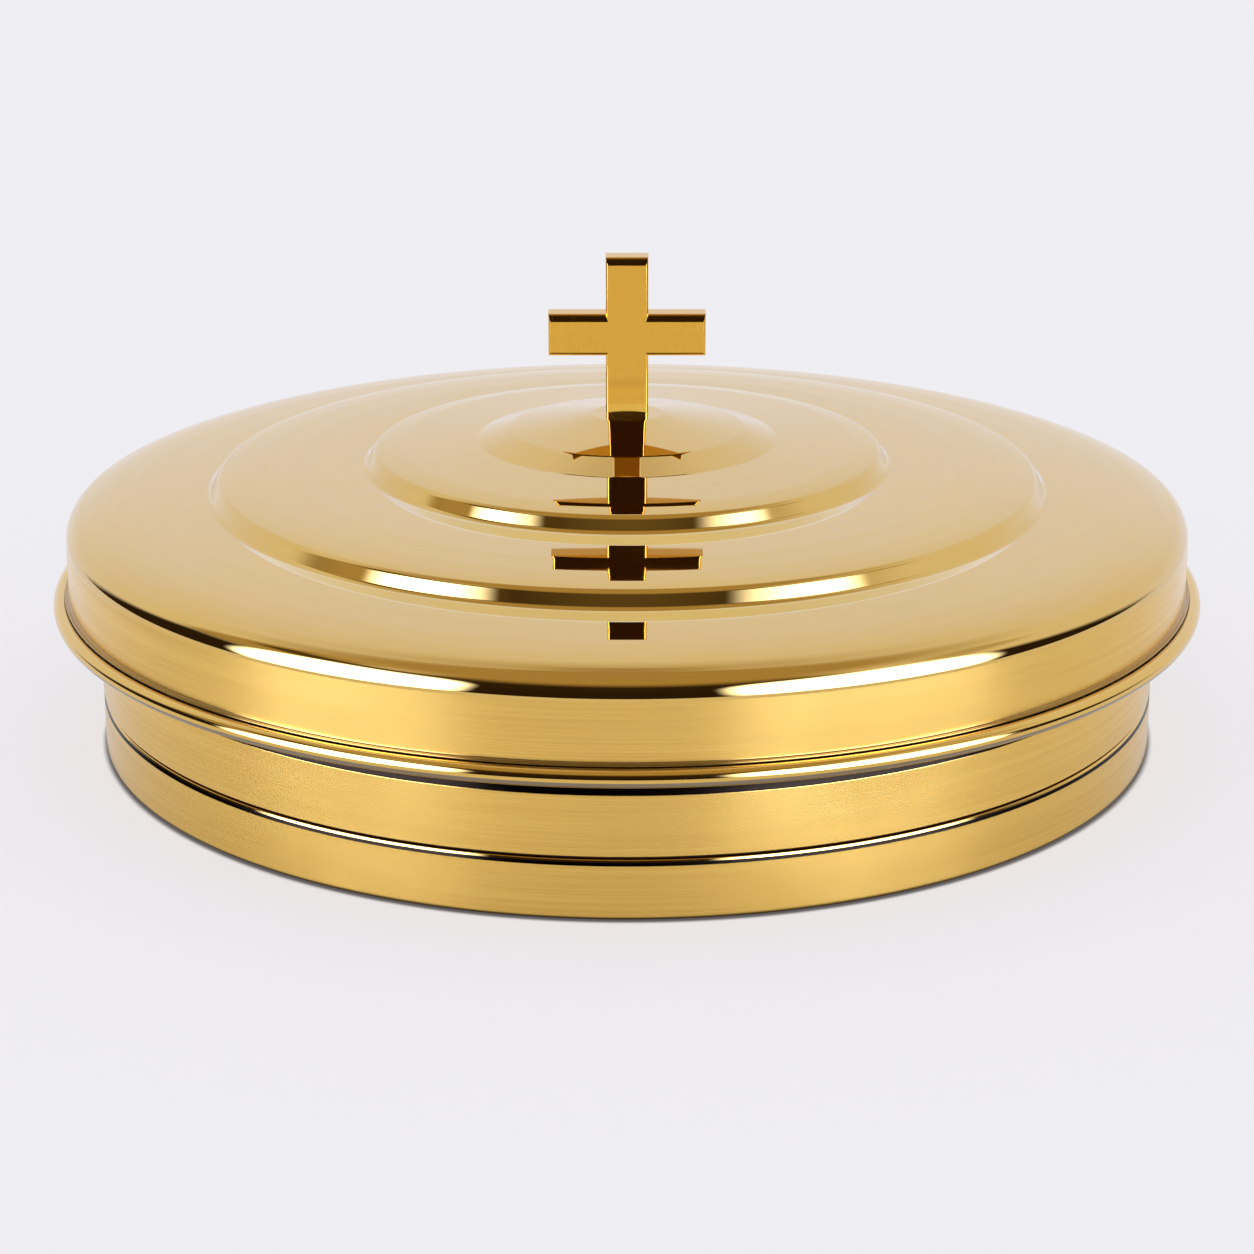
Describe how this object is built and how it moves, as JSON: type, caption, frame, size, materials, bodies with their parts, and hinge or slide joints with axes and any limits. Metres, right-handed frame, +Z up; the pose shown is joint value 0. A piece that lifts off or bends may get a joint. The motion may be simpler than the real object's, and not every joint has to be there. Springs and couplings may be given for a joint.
{
  "type": "communion cup tray",
  "caption": "Round tray for communion cups: a pan with a rolled rim and a grooved wall, a loose disc with cup holes, and a stepped lid lifted by a cross.",
  "frame": {"origin": "middle of the flat face that the pan rests on", "axes": "+Z up through the cross; the cross's broad faces look along -Y and +Y; +X runs along its arms"},
  "size_m": [0.312, 0.312, 0.1304],
  "materials": {
    "tray_metal": "gold tone, fine brushed walls and a polished rim",
    "disc_metal": "gold tone, satin",
    "lid_metal": "gold tone, mirror polished",
    "cross_metal": "gold tone, polished casting",
    "fastener_steel": "plain bright steel"
  },
  "bodies": {
    "tray": {"tray_pan": "tray_metal"},
    "disc": {"cup_disc": "disc_metal"},
    "lid": {"lid_shell": "lid_metal", "cross_handle": "cross_metal", "handle_washer": "fastener_steel", "lock_washer": "fastener_steel", "handle_screw": "fastener_steel"}
  },
  "joints": [
    {"name": "disc_lift", "type": "slide", "parent": "tray", "child": "disc", "axis": [0, 0, 1], "range_m": [0, 0.028]},
    {"name": "lid_lift", "type": "slide", "parent": "tray", "child": "lid", "axis": [0, 0, 1], "range_m": [0, 0.12]}
  ]
}
